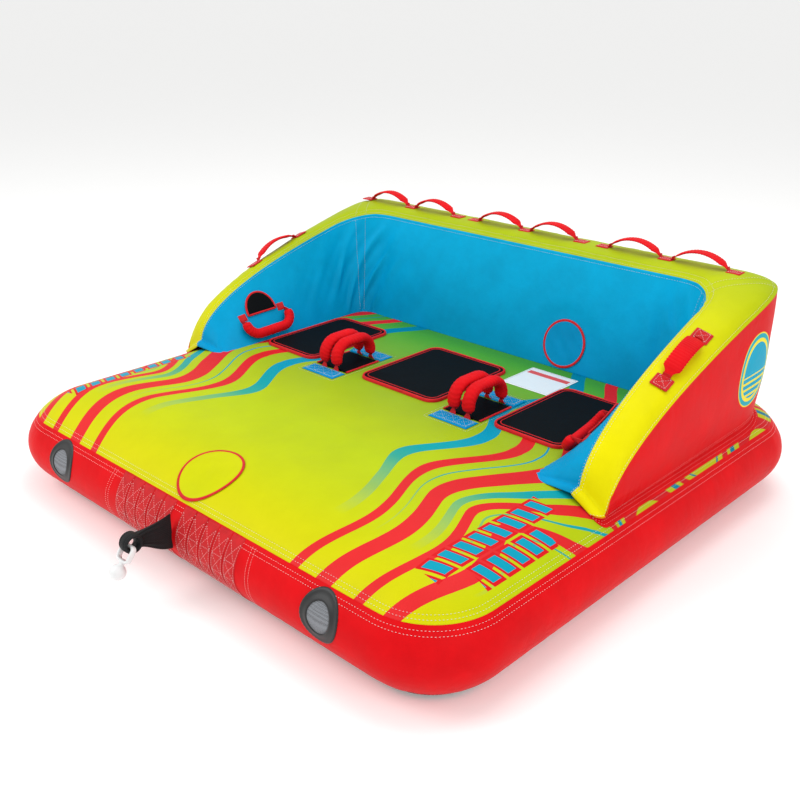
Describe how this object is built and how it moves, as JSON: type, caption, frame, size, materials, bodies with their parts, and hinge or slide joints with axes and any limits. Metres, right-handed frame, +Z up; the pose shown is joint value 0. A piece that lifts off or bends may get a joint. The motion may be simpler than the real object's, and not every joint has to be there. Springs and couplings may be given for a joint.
{
  "type": "towable tube",
  "caption": "Inflatable towable tube for riders seated side by side: crowned square deck, U-shaped backrest with sloping wings, padded handles, grab straps, covered valves and a tow point.",
  "frame": {"origin": "middle of the underside of the deck, on the floor", "axes": "+X to the left of a seated rider, -Y towards the tow point (the way the riders face), +Z up"},
  "size_m": [1.832, 1.9079, 0.7128],
  "materials": {
    "red_cover": "woven polyester, slightly glossy",
    "printed_top": "printed woven polyester",
    "blue_cover": "woven polyester",
    "yellow_cover": "woven polyester",
    "black_cover": "woven polyester",
    "bladder": "flexible PVC film",
    "webbing": "woven webbing",
    "red_webbing": "woven webbing",
    "padding": "foam-backed neoprene",
    "red_binding": "folded tape",
    "black_plastic": "moulded",
    "white_plastic": "moulded",
    "blue_plastic": "moulded",
    "mesh": "open mesh",
    "label": "satin label"
  },
  "bodies": {
    "tube": {"back_strap_tabs": "red_webbing", "backrest_bladder": "bladder", "backrest_hem": "red_cover", "backrest_inner_panel": "blue_cover", "backrest_left_panel": "red_cover", "backrest_rear_panel": "red_cover", "backrest_right_panel": "red_cover", "backrest_top_panel": "yellow_cover", "backrest_valve_body": "white_plastic", "backrest_zipper": "webbing", "care_label": "label", "deck_baffles": "bladder", "deck_bladder": "bladder", "deck_bottom_panel": "black_cover", "deck_knuckle_pads": "padding", "deck_side_band": "red_cover", "deck_top_panel": "printed_top", "deck_valve_body": "white_plastic", "deck_zipper": "webbing", "drain_vent_meshes": "mesh", "drain_vent_rings": "black_plastic", "handle_patches": "blue_cover", "handle_webbing_feet": "red_webbing", "knuckle_pad_bindings": "red_binding", "seat_pad_bindings": "red_binding", "seat_pad_centre": "padding", "seat_pad_left": "padding", "seat_pad_right": "padding", "side_knuckle_pads": "padding", "tow_webbing_straps": "red_webbing", "wing_strap_tabs": "red_webbing"},
    "deck_handle_right_outer": {"deck_handle_right_outer_sleeve": "red_cover", "deck_handle_right_outer_webbing": "red_webbing"},
    "deck_handle_right_inner": {"deck_handle_right_inner_sleeve": "red_cover", "deck_handle_right_inner_webbing": "red_webbing"},
    "deck_handle_left_outer": {"deck_handle_left_outer_sleeve": "red_cover", "deck_handle_left_outer_webbing": "red_webbing"},
    "deck_handle_left_inner": {"deck_handle_left_inner_sleeve": "red_cover", "deck_handle_left_inner_webbing": "red_webbing"},
    "side_handle_right": {"side_handle_right_sleeve": "red_cover", "side_handle_right_webbing": "red_webbing"},
    "side_handle_left": {"side_handle_left_sleeve": "red_cover", "side_handle_left_webbing": "red_webbing"},
    "back_strap_loop_1": {"back_strap_loop_1": "red_webbing"},
    "back_strap_loop_2": {"back_strap_loop_2": "red_webbing"},
    "back_strap_loop_3": {"back_strap_loop_3": "red_webbing"},
    "back_strap_loop_4": {"back_strap_loop_4": "red_webbing"},
    "back_strap_loop_5": {"back_strap_loop_5": "red_webbing"},
    "back_strap_loop_6": {"back_strap_loop_6": "red_webbing"},
    "wing_strap_right": {"wing_strap_right": "red_webbing"},
    "wing_strap_left": {"wing_strap_left": "red_webbing"},
    "deck_valve_cover": {"deck_valve_cover": "yellow_cover"},
    "deck_valve_cap": {"deck_valve_cap": "blue_plastic"},
    "backrest_valve_cover": {"backrest_valve_cover": "blue_cover"},
    "backrest_valve_cap": {"backrest_valve_cap": "blue_plastic"},
    "tow_strap": {"tow_strap": "webbing"},
    "tow_connector": {"tow_connector": "white_plastic"},
    "deck_zipper_slider": {"deck_zipper_slider": "black_plastic"},
    "backrest_zipper_slider": {"backrest_zipper_slider": "black_plastic"}
  },
  "joints": [
    {"name": "deck_handle_right_outer_flop", "type": "hinge", "parent": "tube", "child": "deck_handle_right_outer", "pos_m": [-0.3, 0.029, 0.31839], "axis": [0, -1, 0], "range_deg": [-3, 48]},
    {"name": "deck_handle_right_inner_flop", "type": "hinge", "parent": "tube", "child": "deck_handle_right_inner", "pos_m": [-0.246, 0.029, 0.31839], "axis": [0, 1, 0], "range_deg": [-3, 48]},
    {"name": "deck_handle_left_outer_flop", "type": "hinge", "parent": "tube", "child": "deck_handle_left_outer", "pos_m": [0.3, 0.029, 0.31839], "axis": [0, 1, 0], "range_deg": [-3, 48]},
    {"name": "deck_handle_left_inner_flop", "type": "hinge", "parent": "tube", "child": "deck_handle_left_inner", "pos_m": [0.246, 0.029, 0.31839], "axis": [0, -1, 0], "range_deg": [-3, 48]},
    {"name": "side_handle_right_swing", "type": "hinge", "parent": "tube", "child": "side_handle_right", "pos_m": [-0.66451, 0.01583, 0.37526], "axis": [-0.0925, -0.9934, -0.0673], "range_deg": [0, 140]},
    {"name": "side_handle_left_swing", "type": "hinge", "parent": "tube", "child": "side_handle_left", "pos_m": [0.66451, 0.01583, 0.37526], "axis": [-0.0925, 0.9934, 0.0673], "range_deg": [0, 140]},
    {"name": "back_strap_loop_1_fold", "type": "hinge", "parent": "tube", "child": "back_strap_loop_1", "pos_m": [-0.671, 0.6393, 0.6815], "axis": [1, 0, 0], "range_deg": [-50, 50]},
    {"name": "back_strap_loop_2_fold", "type": "hinge", "parent": "tube", "child": "back_strap_loop_2", "pos_m": [-0.449, 0.6393, 0.6815], "axis": [1, 0, 0], "range_deg": [-50, 50]},
    {"name": "back_strap_loop_3_fold", "type": "hinge", "parent": "tube", "child": "back_strap_loop_3", "pos_m": [-0.146, 0.6393, 0.6815], "axis": [1, 0, 0], "range_deg": [-50, 50]},
    {"name": "back_strap_loop_4_fold", "type": "hinge", "parent": "tube", "child": "back_strap_loop_4", "pos_m": [0.076, 0.6393, 0.6815], "axis": [1, 0, 0], "range_deg": [-50, 50]},
    {"name": "back_strap_loop_5_fold", "type": "hinge", "parent": "tube", "child": "back_strap_loop_5", "pos_m": [0.384, 0.6393, 0.6815], "axis": [1, 0, 0], "range_deg": [-50, 50]},
    {"name": "back_strap_loop_6_fold", "type": "hinge", "parent": "tube", "child": "back_strap_loop_6", "pos_m": [0.606, 0.6393, 0.6815], "axis": [1, 0, 0], "range_deg": [-50, 50]},
    {"name": "wing_strap_right_fold", "type": "hinge", "parent": "tube", "child": "wing_strap_right", "pos_m": [-0.81607, 0.1922, 0.56012], "axis": [0.038, 0.9449, 0.3252], "range_deg": [-32, 32]},
    {"name": "wing_strap_left_fold", "type": "hinge", "parent": "tube", "child": "wing_strap_left", "pos_m": [0.81607, 0.1922, 0.56012], "axis": [-0.038, 0.9449, 0.3252], "range_deg": [-32, 32]},
    {"name": "deck_valve_cover_lift", "type": "hinge", "parent": "tube", "child": "deck_valve_cover", "pos_m": [-0.092, -0.72225, 0.27553], "axis": [0, -0.9496, -0.3136], "range_deg": [0, 95]},
    {"name": "backrest_valve_cover_lift", "type": "hinge", "parent": "tube", "child": "backrest_valve_cover", "pos_m": [0.177, 0.47744, 0.38026], "axis": [0, -0.2831, -0.9591], "range_deg": [0, 95]},
    {"name": "deck_valve_cap_turn", "type": "hinge", "parent": "tube", "child": "deck_valve_cap", "pos_m": [0, -0.722, 0.27477], "axis": [0, -0.3136, 0.9496], "range_deg": [0, 90]},
    {"name": "backrest_valve_cap_turn", "type": "hinge", "parent": "tube", "child": "backrest_valve_cap", "pos_m": [0.255, 0.47821, 0.38003], "axis": [0, -0.9591, 0.2831], "range_deg": [0, 90]},
    {"name": "tow_strap_swing", "type": "hinge", "parent": "tube", "child": "tow_strap", "pos_m": [0, -0.8566, 0.155], "axis": [0, 0, 1], "range_deg": [-45, 45]},
    {"name": "tow_connector_swing", "type": "hinge", "parent": "tow_strap", "child": "tow_connector", "pos_m": [0, -0.974, 0.171], "axis": [-1, 0, 0], "range_deg": [-35, 60]},
    {"name": "deck_zipper_slider_run", "type": "slide", "parent": "tube", "child": "deck_zipper_slider", "axis": [1, 0, 0], "range_m": [0, 1.17]},
    {"name": "backrest_zipper_slider_run", "type": "slide", "parent": "tube", "child": "backrest_zipper_slider", "axis": [1, 0, 0], "range_m": [0, 0.93]}
  ]
}
